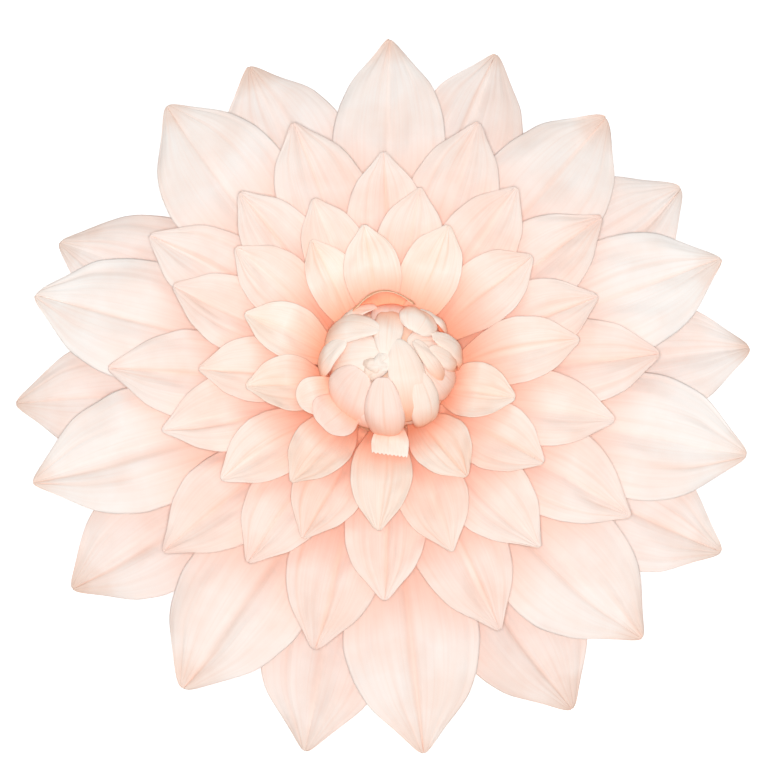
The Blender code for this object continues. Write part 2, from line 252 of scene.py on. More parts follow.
def lie_of(node, fullness):
    """Seen from above, a petal's solid is the same on both sides of its middle line, so that
    line is the long axis of its points. Root and tip are the ends of it."""
    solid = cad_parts[node].data
    points = np.empty(3 * len(solid.vertices), np.float32)
    solid.vertices.foreach_get("co", points)
    points = np.unique(points.reshape(-1, 3).astype(float).round(5), axis=0)
    middle = points[:, :2].mean(0)
    _, axes = np.linalg.eigh(np.cov((points[:, :2] - middle).T))
    along = axes[:, 1] * np.sign(axes[:, 1] @ middle)
    lengthways = (points[:, :2] - middle) @ along
    sideways = (points[:, :2] - middle) @ np.array([along[1], -along[0]])
    heights = points[:, 2]
    start, end = lengthways.min(), lengthways.max()
    root_height = heights[lengthways < start + END_DEPTH].mean()
    tip_height = heights[lengthways > end - END_DEPTH].mean()
    return Lie(
        root=np.array([*(middle + along * start), root_height]),
        along=along,
        length=end - start,
        height=tip_height - root_height,
        width=(sideways.max() - sideways.min()) / fullness,
    )


def wander(where, draw, pitch, octaves=3):
    """A smooth random wave: sines that are each 2.1 times finer and 0.6 times as high as the
    last, with phases drawn at random. pitch is the waves of the first in a unit."""
    heights = 0.6 ** np.arange(octaves)
    phases = draw.uniform(0, 2 * np.pi, octaves)
    waves = [
        height * np.sin(2 * np.pi * pitch * 2.1**octave * where + phase)
        for octave, (height, phase) in enumerate(zip(heights, phases))
    ]
    return sum(waves) / heights.sum()


def curve(start, start_pull, end_pull, end, share):
    """Places and slopes along a cubic curve with these four points, in a level and a height."""
    rest, share = 1 - share[:, None], share[:, None]
    points = [np.asarray(p, float) for p in (start, start_pull, end_pull, end)]
    weights = (rest**3, 3 * rest**2 * share, 3 * rest * share**2, share**3)
    place = sum(w * p for w, p in zip(weights, points))
    steps = [b - a for a, b in zip(points[:-1], points[1:])]
    heading = rest**2 * steps[0] + 2 * rest * share * steps[1] + share**2 * steps[2]
    return place, np.arctan2(heading[:, 1], heading[:, 0])


def smooth(value, low, high):
    """0 below low, 1 above high, and an even S between them."""
    share = np.clip((value - low) / (high - low), 0, 1)
    return share * share * (3 - 2 * share)


def half_width(share, width, root_width, widest, bluntness, tip_width=TIP_WIDTH):
    """Half of the blade's width: a sine from the root up to its widest place, and a sine from
    there down to the nipped tip, each raised to a power that sets how full it is."""
    rising = np.sin(np.pi / 2 * np.clip(share / widest, 0, 1)) ** ROOT_SLENDERNESS
    falling = np.sin(np.pi / 2 * np.clip((1 - share) / (1 - widest), 0, 1)) ** bluntness
    end = np.where(share < widest, root_width, tip_width) / 2
    return end + (width / 2 - end) * np.where(share < widest, rising, falling)


def hand_creases(across, share, draw):
    """Creases pressed in by hand, as V-shaped valleys that keep their place across the petal, so
    that they meet at its ends. Most start at the pinched tip and fade out somewhere along the
    blade, and some start at the root. The middle one is the deepest and longest."""
    total = np.zeros((len(share), len(across)))
    for line, strength in CREASE_LINES:
        place = line + draw.normal(0, CREASE_STRAY) + CREASE_WANDER * wander(share, draw, 0.5, 2)
        reach = draw.uniform(*CREASE_REACH)
        fade = draw.uniform(0.0, 0.25) if line == 0 else draw.uniform(0.15, 0.75)
        run = smooth(share, fade, fade + 0.4)
        if line and draw.uniform() < 0.4:
            run = np.maximum(run, 1 - smooth(share, 0.15, draw.uniform(0.3, 0.6)))
        valley = np.clip(1 - np.abs(across - place[:, None]) / reach, 0, 1)
        total += strength * draw.uniform(0.3, 1.2) * valley * run[:, None]
    return total


def petal_surface(lie, cut, seed):
    """The petal's sheet as a grid of places, and how deep each lies in a crease, from 0 to 1.

    The middle line is a cubic curve from the tab's end to the tip. A place stands to the side of
    it by its share of the half width, and over it, square to the line, by the folds: a cup, a
    swell in each half, a valley along the middle, hand creases, fine pleats and soft dents."""
    draw = np.random.default_rng(seed)
    across = np.linspace(-1, 1, cut.columns)
    share = 1 - (1 - np.linspace(0, 1, cut.rows)) ** ROW_CROWDING
    chord = np.array([lie.length - cut.tab, lie.height])
    pull = HANDLE * np.linalg.norm(chord)
    extra_height = lie.root[2] + lie.height - cut.tip_height
    rise = math.radians(cut.rise + extra_height * 1000 * RISE_PER_MM)
    droop = math.radians(cut.droop)
    start, end = np.array([cut.tab, 0]), np.array([lie.length, lie.height])
    place, slope = curve(
        start, start + pull * np.array([math.cos(rise), math.sin(rise)]),
        end - pull * np.array([math.cos(droop), math.sin(droop)]), end, share,
    )
    bluntness = cut.bluntness + draw.uniform(*BLUNTNESS_STRAY)
    half = half_width(share, lie.width, cut.root_width, cut.widest, bluntness)
    half *= 1 - TIP_PINCH * smooth(share, PINCHED_FROM, 1)
    opening = np.minimum(1, share / cut.widest)[:, None]
    fullness = (half / (lie.width / 2))[:, None]
    side = np.abs(across)
    fold = cut.cup * side**2 + cut.puff * np.sin(np.pi * side)
    fold = fold - cut.crease * np.clip(1 - side / CREASE_HALF_WIDTH, 0, 1)
    creases = hand_creases(across, share, draw)
    nip = smooth(share, NIPPED_FROM, NIPPED_TO)[:, None] * (side - NIP_HINGE) * cut.nip
    nip = nip * draw.uniform(*NIP_STRAY)
    pleats = wander(across + 0.02 * wander(share, draw, 1)[:, None], draw, 3.2, 2)
    dents = 0.6 * wander(1.3 * share[:, None] + 0.5 * across, draw, 0.9, 2)
    small_dents = wander(0.9 * share[:, None] - 0.4 * across, draw, 1.9, 2)
    dents = dents + 0.7 * small_dents * wander(across, draw, 0.5, 1)
    edge = side**4 * wander(share, draw, 1.4)[:, None] * np.where(across < 0, 1, -1)
    lift = fold * opening * fullness + nip * fullness
    lift = lift + opening * (
        -cut.pleats * creases * fullness**0.35
        + FINE_PLEATS * cut.pleats * pleats * fullness**0.5
        + cut.crumple * dents * fullness + cut.flutter * edge
    )
    twist = math.radians(draw.normal(0, TWIST)) * share[:, None] ** 2
    bow = draw.normal(0, BOW) * lie.length * np.sin(np.pi * share)[:, None]
    left_edge, right_edge = wander(share, draw, 1.6), wander(share, draw, 1.6)
    ragged = 1 + RAGGED * np.where(across < 0, left_edge[:, None], right_edge[:, None])
    sideways = across * half[:, None] * ragged
    lift = lift + sideways * np.sin(twist)
    level = place[:, :1] - lift * np.sin(slope)[:, None]
    height = place[:, 1:] + lift * np.cos(slope)[:, None]
    sideways = sideways + bow

    tab_rows = np.array([0, 0.5])[:, None]
    level = np.concatenate([tab_rows * cut.tab + 0 * across, level])
    height = np.concatenate([0 * tab_rows + 0 * across, height])
    sideways = np.concatenate([0 * tab_rows + across * cut.root_width / 2, sideways])
    depth = np.concatenate([np.zeros((2, cut.columns)), np.clip(creases, 0, 1)])
    right = np.array([lie.along[1], -lie.along[0]])
    flat = lie.root[:2] + level[..., None] * lie.along + sideways[..., None] * right
    return np.concatenate([flat, lie.root[2] + height[..., None]], -1), depth


def paper_sheet(name, middle, depth, thickness, surface, dye_and_shade=0.0):
    """A closed sheet over a grid of places, its rows from root to tip. The places are moved by
    half the thickness to each side along the normal, which is the cross product of the grid's
    two directions, and the edges are joined. The UV map runs from 0 to 1 across and along. The
    last argument, from 0 to 1, is how pink and how shaded the sheet is painted: partly a random
    dye, partly painted shade. The sheet is marked with it, with the depth of its folds, which the
    material darkens as painted shade, and with which side is its back, which it colours deeper as
    painted shade."""
    rows, columns = middle.shape[:2]
    normal = np.cross(np.gradient(middle, axis=1), np.gradient(middle, axis=0))
    normal *= thickness / 2 / np.linalg.norm(normal, axis=-1, keepdims=True)
    here = np.arange(rows * columns).reshape(rows, columns)
    quads = (here[:-1, :-1], here[:-1, 1:], here[1:, 1:], here[1:, :-1])
    upper = np.stack(quads, -1).reshape(-1, 4)
    lower = upper[:, ::-1] + here.size
    rim = np.concatenate([here[0, :-1], here[:-1, -1], here[-1, :0:-1], here[:0:-1, 0]])
    after = np.roll(rim, -1)
    edge = np.stack([after, rim, rim + here.size, after + here.size], -1)
    places = np.concatenate([middle + normal, middle - normal])
    made = mesh_piece(name, places, np.concatenate([upper, lower, edge]).tolist(), surface)
    mesh = made.data
    flat = np.zeros(len(mesh.polygons), bool)
    flat[-len(edge):] = True
    sharp = mesh.attributes.get("sharp_face")
    if sharp is None:
        sharp = mesh.attributes.new("sharp_face", "BOOLEAN", "FACE")
    sharp.data.foreach_set("value", flat)
    corners = np.empty(len(mesh.loops), np.int32)
    mesh.loops.foreach_get("vertex_index", corners)
    spot = corners % here.size
    uv = np.stack([spot % columns / (columns - 1), spot // columns / (rows - 1)], -1)
    mesh.uv_layers.new(name="petal").data.foreach_set("uv", uv.astype(np.float32).ravel())
    # the fold mark is the crease depth, which the material darkens as painted shade; the back mark
    # is coloured deeper as painted shade
    marks = {
        "fold": np.tile(depth.ravel(), 2),
        "dye_and_shade": np.full(2 * here.size, dye_and_shade),
        "back": np.repeat([0, 1], here.size),
    }
    for mark, values in marks.items():
        attribute = mesh.attributes.new(mark, "FLOAT", "POINT")
        attribute.data.foreach_set("value", values.astype(np.float32))
    return made


def crepe_paper(name, root, body, tip, mottle_and_shade):
    """Matte petal paper. The colour runs from root to tip along the UV map. Its deep root colour is
    partly the paper's own and partly painted shade, where the roots lie under the next ring. It is
    clouded by a broad noise, streaked lengthways by a stretched one, darkened and warmed in the
    creases as painted shade, pinker by a random dye of the petal, darker by painted shade on
    petals that point to the near side, and deeper on its back as painted shade. The bump adds the
    streaks and the fibres."""
    made, tree, shader = finish(name, 0.78)
    place = add(tree, "TexCoord", {}).outputs["Object"]
    petal = add(tree, "UVMap", {}, uv_map="petal").outputs[0]
    cloud = add(tree, "TexNoise", {"Vector": place, "Scale": CLOUD_SCALE, "Detail": 3}).outputs[0]
    fine = {"Vector": place, "Scale": FIBRE_SCALE, "Detail": 3, "Roughness": 0.65}
    fibres = add(tree, "TexNoise", fine).outputs[0]
    stretched = add(tree, "Mapping", {"Vector": petal, "Scale": STREAK_SCALE}).outputs[0]
    lengthways = {"Vector": stretched, "Scale": 1.0, "Detail": 5, "Distortion": 0.5}
    streaks = add(tree, "TexNoise", lengthways).outputs[0]
    along = add(tree, "SeparateXYZ", {"Vector": petal}).outputs[1]
    stray = spread(tree, cloud, 0.3, 0.7, -COLOUR_STRAY, COLOUR_STRAY)
    ramp = add(tree, "ValToRGB", {"Fac": add(tree, "Math", {0: along, 1: stray}).outputs[0]})
    # painted shade in part: the deep root colour is partly the paper's own, and partly stands for
    # the shade where the roots lie under the next ring
    stops = ramp.color_ramp.elements
    stops[0].position, stops[0].color = ROOT_UP_TO, (*root, 1)
    stops[1].position, stops[1].color = 1.0, (*tip, 1)
    for position in (BODY_FROM, BODY_TO):
        stops.new(position).color = (*body, 1)
    colour = ramp.outputs[0]
    # painted shade: the creases are darkened by the darker colour; the cloud and the streaks are
    # the paper's own mottling
    creases = add(tree, "Attribute", {}, attribute_name="fold").outputs["Fac"]
    for pattern, low, high, strength in (
        (cloud, 0.4, 0.65, 0.6), (streaks, 0.45, 0.75, 0.4), (creases, 0.05, 0.8, 0.7),
    ):
        shade = spread(tree, pattern, low, high, 0, strength)
        colour = blended(tree, shade, colour, mottle_and_shade, "MULTIPLY")
    # painted shade: the first mark adds a random pinker dye and shade on petals that point to the
    # near side, and every back is coloured deeper
    for mark, tint in (("dye_and_shade", PINK_DYE_AND_SHADE), ("back", BACK_PAINTED_SHADE)):
        marked = add(tree, "Attribute", {}, attribute_name=mark).outputs["Fac"]
        colour = blended(tree, marked, colour, tint, "MULTIPLY")
    tree.links.new(colour, shader.inputs["Base Color"])
    tree.links.new(spread(tree, streaks, 0.3, 0.7, 0.7, 0.86), shader.inputs["Roughness"])
    grain = add(tree, "Bump", {"Height": fibres, "Strength": 0.25, "Distance": 0.0003}).outputs[0]
    raised = {"Height": streaks, "Strength": 0.4, "Distance": 0.0005, "Normal": grain}
    tree.links.new(add(tree, "Bump", raised).outputs[0], shader.inputs["Normal"])
    return made


def hang_ring(ring, cut, paper, seed):
    """Dresses every petal of a ring where its solid lies. No two are dyed quite alike, and the
    petals that point towards the near side, away from the far lamp, are darkened by painted
    shade, the more the more squarely they point there."""
    tones = np.random.default_rng(seed)
    for node in sorted(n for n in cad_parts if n.startswith(ring)):
        seed += 1
        lie = lie_of(node, cut.fullness)
        middle, depth = petal_surface(lie, cut, seed)
        # a random dye of up to 0.5, plus painted shade of up to 0.5 on petals that point to the
        # near side
        dye_and_shade = tones.uniform(0, 0.5) + 0.5 * max(0, -lie.along[1])
        sheet = paper_sheet(node + "_paper", middle, depth, PAPER, paper, dye_and_shade)
        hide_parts(node)


BACK = Cut(
    tip_height=0.008, rise=8, droop=-9, root_width=0.028, widest=0.58, bluntness=0.62,
    cup=-0.003, puff=0.0028, crease=0.0018, fullness=0.965,
    pleats=0.0013, crumple=0.0021, flutter=0.0024, nip=0.0050,
)
# the tip colour, darker than the body, is partly the paper's own and partly painted shade on tips
# that droop away from the light
BACK_PAPER = crepe_paper(
    "palest_petal_paper",
    root=(0.98, 0.68, 0.55), body=(0.97, 0.91, 0.87),
    tip=(0.86, 0.71, 0.62), mottle_and_shade=(0.96, 0.85, 0.80),
)
hang_ring("back_petal", BACK, BACK_PAPER, seed=100)


# The second ring.
# Ten more wide petals of a slightly whiter paper stand between those behind them, glued to the
# second ledge. They arch higher, and their tips hang down a little.

OUTER = Cut(
    tip_height=0.024, rise=19, droop=-11, root_width=0.025, widest=0.58, bluntness=0.62,
    cup=-0.003, puff=0.0030, crease=0.0020, fullness=0.995,
    pleats=0.0013, crumple=0.0021, flutter=0.0024, nip=0.0052,
)
# the tip colour, darker than the body, is partly the paper's own and partly painted shade on tips
# that droop away from the light
OUTER_PAPER = crepe_paper(
    "pale_petal_paper",
    root=(0.98, 0.66, 0.51), body=(0.98, 0.93, 0.89),
    tip=(0.93, 0.80, 0.72), mottle_and_shade=(0.97, 0.86, 0.81),
)
hang_ring("outer_petal", OUTER, OUTER_PAPER, seed=200)


# The third ring.
# Ten middle-sized petals are cut from blush paper and pleated like the large ones. They are
# glued to the third ledge, and hide the roots of the rings below.

MIDDLE = Cut(
    tip_height=0.050, rise=30, droop=-4, root_width=0.021, widest=0.55, bluntness=0.70,
    cup=0.001, puff=0.0026, crease=0.0016, fullness=0.955,
    pleats=0.0011, crumple=0.0015, flutter=0.0019, nip=0.0040,
    rows=48, columns=52,
)
MIDDLE_PAPER = crepe_paper(
    "blush_petal_paper",
    root=(0.98, 0.58, 0.42), body=(0.98, 0.88, 0.82),
    tip=(0.98, 0.84, 0.78), mottle_and_shade=(0.97, 0.84, 0.78),
)
hang_ring("middle_petal", MIDDLE, MIDDLE_PAPER, seed=300)


# The fourth ring.
# Ten petals of a warmer blush paper are glued to the fourth ledge, in line with those of the
# second ring. Their edges begin to curl up.

INNER = Cut(
    tip_height=0.065, rise=35, droop=-2, root_width=0.018, widest=0.56, bluntness=0.72,
    cup=0.003, puff=0.0020, crease=0.0014, fullness=0.955,
    pleats=0.0009, crumple=0.0012, flutter=0.0015, nip=0.0034,
    rows=44, columns=48,
)
INNER_PAPER = crepe_paper(
    "warm_blush_petal_paper",
    root=(0.98, 0.56, 0.40), body=(0.98, 0.87, 0.80),
    tip=(0.98, 0.86, 0.80), mottle_and_shade=(0.98, 0.83, 0.77),
)
hang_ring("inner_petal", INNER, INNER_PAPER, seed=400)


# The fifth ring.
# Ten small petals of peach paper are glued to the fifth ledge. Their edges are curled up by
# hand into spoons.

UPPER = Cut(
    tip_height=0.075, rise=38, droop=0, root_width=0.014, widest=0.57, bluntness=0.72,
    cup=0.004, puff=0.0014, crease=0.0012, fullness=0.955,
    pleats=0.0008, crumple=0.0009, flutter=0.0013, nip=0.0028,
    rows=40, columns=44,
)
UPPER_PAPER = crepe_paper(
    "peach_petal_paper",
    root=(0.98, 0.54, 0.37), body=(0.98, 0.86, 0.78),
    tip=(0.98, 0.87, 0.80), mottle_and_shade=(0.98, 0.82, 0.75),
)
hang_ring("upper_petal", UPPER, UPPER_PAPER, seed=500)


# The collar round the bud.
# Nine small spoon-shaped petals of brighter peach paper are glued to the top ledge. The tenth
# place is empty.

COLLAR = Cut(
    tip_height=0.084, rise=38, droop=4, root_width=0.014, widest=0.54, bluntness=0.66,
    cup=0.005, puff=0.0010, crease=0.0010, fullness=0.955,
    pleats=0.0008, crumple=0.0008, flutter=0.0011, nip=0.0022,
    tab=0.006, rows=36, columns=40,
)
COLLAR_PAPER = crepe_paper(
    "bright_peach_petal_paper",
    root=(0.98, 0.50, 0.31), body=(0.98, 0.88, 0.79),
    tip=(0.98, 0.89, 0.81), mottle_and_shade=(0.98, 0.82, 0.74),
)
hang_ring("collar_petal", COLLAR, COLLAR_PAPER, seed=600)


# The bud's dome.
# A low dome of pressed paper pulp, covered with gathered orange-peach paper, is glued on the
# core's neck. It shows only in the gaps between the bud's petals.

DOME_RADIUS, DOME_CENTRE, DOME_RISE, DOME_DROP = 0.0413, 0.075, 0.0254, 0.006
DOME_UNDERCUT, DOME_UNDER_LIFT = 0.004, 0.0002  # its underside is narrower, and a hair higher
DOME_ASIDE = (0.004, 0.001)  # it sits a little to the right of the core's axis
DOME_LEVELS = 18
DOME_DEEP, DOME_PALE = (0.97, 0.60, 0.42), (0.98, 0.72, 0.56)
DOME_CLOUD_SCALE, WRINKLE_SCALE = 70, 260  # noise spots in a metre
GATHERS, GATHER_DEPTH = 36, 0.0005
GATHER_GROUPS, GATHER_STRAY = 5, 2  # the gathers lie closer in places, and wider in others


def dome_outline():
    """A quarter of an ellipse from the top to the widest level, then straight in to the neck."""
    angle = np.linspace(np.pi / 2, 0, DOME_LEVELS)
    heights = DOME_CENTRE + DOME_RISE * np.sin(angle)
    round_part = np.stack([DOME_RADIUS * np.cos(angle), heights], -1)
    round_part[0, 0] = 0
    under = DOME_CENTRE - DOME_DROP + DOME_UNDER_LIFT
    return [*round_part.tolist(), [DOME_RADIUS - DOME_UNDERCUT, under], [0, under]]


def gathered(piece):
    """Draws the paper into small gathers: the distance from the axis changes by a sine of the
    turn, more towards the rim. Then sets the piece down in its place beside the axis."""
    places = np.empty(3 * len(piece.data.vertices), np.float32)
    piece.data.vertices.foreach_get("co", places)
    places = places.reshape(-1, 3)
    distance = np.hypot(places[:, 0], places[:, 1])
    turn = np.arctan2(places[:, 0], places[:, 1])
    phase = GATHERS * turn + GATHER_STRAY * np.sin(GATHER_GROUPS * turn)
    change = GATHER_DEPTH * np.sin(phase) * distance / DOME_RADIUS
    places[:, :2] *= 1 + (change / np.maximum(distance, 0.001))[:, None]
    places[:, :2] += DOME_ASIDE
    piece.data.vertices.foreach_set("co", places.ravel())
    piece.data.update()


def dome_paper():
    """Deep orange-peach paper, clouded by a broad noise and wrinkled by a finer one."""
    made, tree, shader = finish("dome_paper", 0.8)
    place = add(tree, "TexCoord", {}).outputs["Object"]
    clouded = {"Vector": place, "Scale": DOME_CLOUD_SCALE, "Detail": 3}
    cloud = add(tree, "TexNoise", clouded).outputs[0]
    wrinkled = {"Vector": place, "Scale": WRINKLE_SCALE, "Detail": 4, "Distortion": 1.0}
    wrinkles = add(tree, "TexNoise", wrinkled).outputs[0]
    colour = blended(tree, spread(tree, cloud, 0.35, 0.65), DOME_DEEP, DOME_PALE)
    tree.links.new(colour, shader.inputs["Base Color"])
    tree.links.new(spread(tree, cloud, 0.3, 0.7, 0.74, 0.86), shader.inputs["Roughness"])
    bump = add(tree, "Bump", {"Height": wrinkles, "Strength": 0.5, "Distance": 0.0006})
    tree.links.new(bump.outputs[0], shader.inputs["Normal"])
    return made


dome = turned("bud_dome", dome_outline(), CORE_SIDES * 2, dome_paper())
gathered(dome)
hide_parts("flower_core")


# The half-open bud.
# Eighteen small petals of two glued sheets are pressed round the dome like the leaves of a
# cabbage, each layer over the last. One of single paper stands up behind them, and three are
# turned outwards in front and at the left. Three crumpled curls fill the gap in the middle.

BUD_MIDDLE = np.array([*DOME_ASIDE, DOME_CENTRE])
BUD_SHEET = 0.0006  # two glued sheets
BUD_RADIUS, BUD_RISE = 0.043, 0.027  # of the dome with the first petals on it
BUD_LAYER = 0.0015  # that each layer stands over the last
BUD_ROOT_SHARE = 0.45  # of a bud petal's width
BUD_SWELL, BUD_TUCK, TUCKED_SHARE = 0.0016, 0.0020, 0.25
EDGE_PRESS, LAYER_PRESS = 0.0006, 0.0004  # how far edges are pressed down, and more a layer
EDGE_WAVE, DENT, SMALL_CREASE = 0.0005, 0.0007, 0.00022  # heights and depths of the soft relief
PRESSED_WIDEST, FREE_WIDEST, FREE_BLUNTNESS = 0.5, 0.6, 0.6
TOOTH = 0.05  # share of a pinked petal's length
BUD_ROWS, BUD_COLUMNS, BUD_ROW_CROWDING = 36, 46, 1.3
BUD_SEED, CURL_SEED = 700, 750


class Pressed(NamedTuple):
    """A bud petal pressed on the dome: the turn and tilt from the dome's top of its root and of
    its tip, in degrees, its width, the layer it lies on and how blunt its tip is."""

    root: tuple
    tip: tuple
    width: float
    layer: int
    bluntness: float = 0.62


class Free(NamedTuple):
    """A bud petal that stands free of the dome. The points are of its middle line, outwards from
    the dome's side and up from its widest level."""

    turn: float
    width: float
    tip_width: float
    cup: float
    points: tuple
    teeth: int = 0  # of its pinked end
    slant: float = 0  # share of its length that is cut off on one side


PRESSED = (
    Pressed(root=(5, 88), tip=(357, 26), width=0.030, layer=0),
    Pressed(root=(272, 84), tip=(322, 8), width=0.036, layer=0),
    Pressed(root=(75, 80), tip=(48, 22), width=0.028, layer=0),
    Pressed(root=(2, 62), tip=(290, 4), width=0.020, layer=1),
    Pressed(root=(200, 94), tip=(225, 44), width=0.034, layer=1),
    Pressed(root=(112, 94), tip=(92, 31), width=0.030, layer=1),
    Pressed(root=(308, 95), tip=(345, 60), width=0.024, layer=2),
    Pressed(root=(58, 94), tip=(30, 70), width=0.020, layer=2),
    Pressed(root=(115, 60), tip=(52, 27), width=0.012, layer=2),
    Pressed(root=(160, 70), tip=(20, 18), width=0.026, layer=2),
    Pressed(root=(222, 94), tip=(246, 27), width=0.038, layer=2, bluntness=0.45),
    Pressed(root=(292, 93), tip=(340, 27), width=0.023, layer=3),
    Pressed(root=(30, 68), tip=(42, 33), width=0.027, layer=3, bluntness=0.40),
    Pressed(root=(263, 93), tip=(294, 44), width=0.019, layer=3),
    Pressed(root=(93, 75), tip=(76, 36), width=0.014, layer=3),
    Pressed(root=(152, 93), tip=(117, 26), width=0.021, layer=3),
    Pressed(root=(181, 94), tip=(200, 18), width=0.025, layer=4, bluntness=0.50),
    Pressed(root=(88, 92), tip=(60, 44), width=0.016, layer=4),
)
FREE = (
    Free(turn=354, width=0.042, tip_width=0.036, cup=0.011,
         points=((-0.009, 0.000), (0.012, -0.003), (0.007, 0.017), (0.0035, 0.025))),
    Free(turn=226, width=0.034, tip_width=0.010, cup=0.002,
         points=((-0.011, 0.001), (0.003, 0.010), (0.012, 0.0152), (0.020, 0.016))),
    Free(turn=246, width=0.027, tip_width=0.006, cup=0.002,
         points=((-0.011, 0.001), (0.005, 0.0085), (0.015, 0.0125), (0.024, 0.0155))),
    Free(turn=180, width=0.025, tip_width=0.022, cup=0.001, teeth=9, slant=0.14,
         points=((-0.009, -0.001), (0.005, 0.008), (0.014, 0.011), (0.021, 0.010))),
)
CURLS = (  # of the middle
    Pressed(root=(232, 30), tip=(20, 3), width=0.014, layer=1),
    Pressed(root=(262, 24), tip=(190, 9), width=0.009, layer=2),
    Pressed(root=(222, 22), tip=(300, 8), width=0.007, layer=2),
)


def towards(turn, tilt):
    """The unit vector with this turn and this tilt from straight up."""
    turn, tilt = math.radians(turn), math.radians(tilt)
    level = math.sin(tilt)
    return np.array([level * math.sin(turn), level * math.cos(turn), math.cos(tilt)])


def soft_relief(across, share, draw):
    """The soft forms of a small petal: faint hand creases that fade at its ends, edges that
    wander up and down, and one shallow dent."""
    middle = (np.sin(np.pi * share) ** 0.6)[:, None]
    creases = hand_creases(across, share, draw) * middle
    edge = np.abs(across) ** 3 * wander(share, draw, 1.1)[:, None] * np.where(across < 0, 1, -1)
    dent = wander(share[:, None] + 0.4 * across, draw, 0.9, 2) * middle
    return EDGE_WAVE * edge + DENT * dent - SMALL_CREASE * creases, np.clip(creases, 0, 1)


def pressed_surface(spec, seed):
    """A petal on the dome as a grid of places. Its middle line is the shortest way over a ball
    from the root's direction to the tip's, and a place is turned sideways from it by its share
    of the half width. The ball is then stretched to the dome's width and height, and the petal
    lifted by its layer, a swell in its middle and its soft relief, less a tuck at its root and
    the pressing down of its edge."""
    draw = np.random.default_rng(seed)
    across = np.linspace(-1, 1, BUD_COLUMNS)
    share = 1 - (1 - np.linspace(0, 1, BUD_ROWS)) ** BUD_ROW_CROWDING
    root, tip = towards(*spec.root), towards(*spec.tip)
    whole = math.acos(root @ tip)
    line = (
        np.sin((1 - share) * whole)[:, None] * root + np.sin(share * whole)[:, None] * tip
    ) / math.sin(whole)
    right = np.cross(tip, root) / math.sin(whole)
    root_width = BUD_ROOT_SHARE * spec.width
    half = half_width(share, spec.width, root_width, PRESSED_WIDEST, spec.bluntness)
    aside = (across * half[:, None] / BUD_RADIUS)[..., None]
    direction = np.cos(aside) * line[:, None] + np.sin(aside) * right
    relief, creases = soft_relief(across, share, draw)
    swell = BUD_SWELL * (1 - across**2) * np.sin(np.pi * share)[:, None]
    tuck = BUD_TUCK * np.clip(1 - share / TUCKED_SHARE, 0, 1)[:, None]
    near_edge = np.maximum(across**6, (share**8)[:, None])
    press = (EDGE_PRESS + spec.layer * LAYER_PRESS) * near_edge
    lift = spec.layer * BUD_LAYER + swell - tuck - press + relief - BUD_SHEET / 2
    stretch = np.stack([BUD_RADIUS + lift, BUD_RADIUS + lift, BUD_RISE + lift], -1)
    return BUD_MIDDLE + direction * stretch, creases


def free_surface(spec, seed):
    """A petal that stands free as a grid of places. Its middle line is a cubic curve. A place
    stands to the side of it by its share of the half width, and over it by its cup and its soft
    relief. Each column goes as far along the curve as the slant and the teeth of its end let it."""
    draw = np.random.default_rng(seed)
    columns = 2 * BUD_COLUMNS - 1 if spec.teeth else BUD_COLUMNS
    across = np.linspace(-1, 1, columns)
    share = 1 - (1 - np.linspace(0, 1, BUD_ROWS)) ** BUD_ROW_CROWDING
    teeth = TOOTH * np.abs(spec.teeth * across % 2 - 1) if spec.teeth else 0
    reach = share[:, None] * (1 - teeth - spec.slant * (1 + across) / 2)
    points = [(BUD_RADIUS + outwards, up) for outwards, up in spec.points]
    place, slope = curve(*points, reach.ravel())
    place, slope = place.reshape(*reach.shape, 2), slope.reshape(reach.shape)
    root_width = BUD_ROOT_SHARE * spec.width
    half = half_width(
        reach, spec.width, root_width, FREE_WIDEST, FREE_BLUNTNESS, spec.tip_width
    )
    relief, creases = soft_relief(across, share, draw)
    opening = np.minimum(1, reach / FREE_WIDEST)
    lift = spec.cup * across**2 * half / (spec.width / 2) * opening + relief
    sideways = across * half
    level = place[..., 0] - lift * np.sin(slope)
    height = place[..., 1] + lift * np.cos(slope)
    along = towards(spec.turn, 90)
    right = np.array([along[1], -along[0], 0])
    above = np.array([0, 0, 1])
    places = level[..., None] * along + sideways[..., None] * right + height[..., None] * above
    return BUD_MIDDLE + places, creases


BUD_PAPER = crepe_paper(
    "bud_paper",
    root=(0.98, 0.52, 0.34), body=(0.98, 0.86, 0.77),
    tip=(0.98, 0.90, 0.82), mottle_and_shade=(0.98, 0.84, 0.77),
)
# pinker and darker than the bud paper: partly a real blush, partly painted shade for petals on the
# near side
BUD_BLUSH_AND_SHADE = crepe_paper(
    "bud_blush_and_shade_paper",
    root=(0.98, 0.52, 0.36), body=(0.98, 0.76, 0.67),
    tip=(0.98, 0.81, 0.73), mottle_and_shade=(0.98, 0.84, 0.77),
)
CURL_PAPER = crepe_paper(
    "bud_curl_paper",
    root=(0.98, 0.80, 0.68), body=(0.98, 0.90, 0.82),
    tip=(0.98, 0.93, 0.87), mottle_and_shade=(0.98, 0.84, 0.77),
)
# painted shade: the hood's deep orange stands for the shade on its inner face
HOOD_PAPER = crepe_paper(
    "bud_hood_paper",
    root=(0.98, 0.56, 0.36), body=(0.98, 0.69, 0.51),
    tip=(0.98, 0.76, 0.60), mottle_and_shade=(0.98, 0.83, 0.74),
)
BLUSH_AND_SHADE_PETALS = {1, 5, 6, 11, 17, 20}  # the petals of the pinker, darker paper: partly a real blush, partly painted shade, as most lie on the near side
HOOD = 19


def place_bud_sheet(name, surface, thickness, paper):
    """Puts one small sheet on the dome, as a part of the bud."""
    sheet = paper_sheet(name, *surface, thickness, paper)
    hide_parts("flower_core")


def paper_of(index):
    """The paper that the bud petal with this number is cut from."""
    if index == HOOD:
        return HOOD_PAPER
    return BUD_BLUSH_AND_SHADE if index in BLUSH_AND_SHADE_PETALS else BUD_PAPER


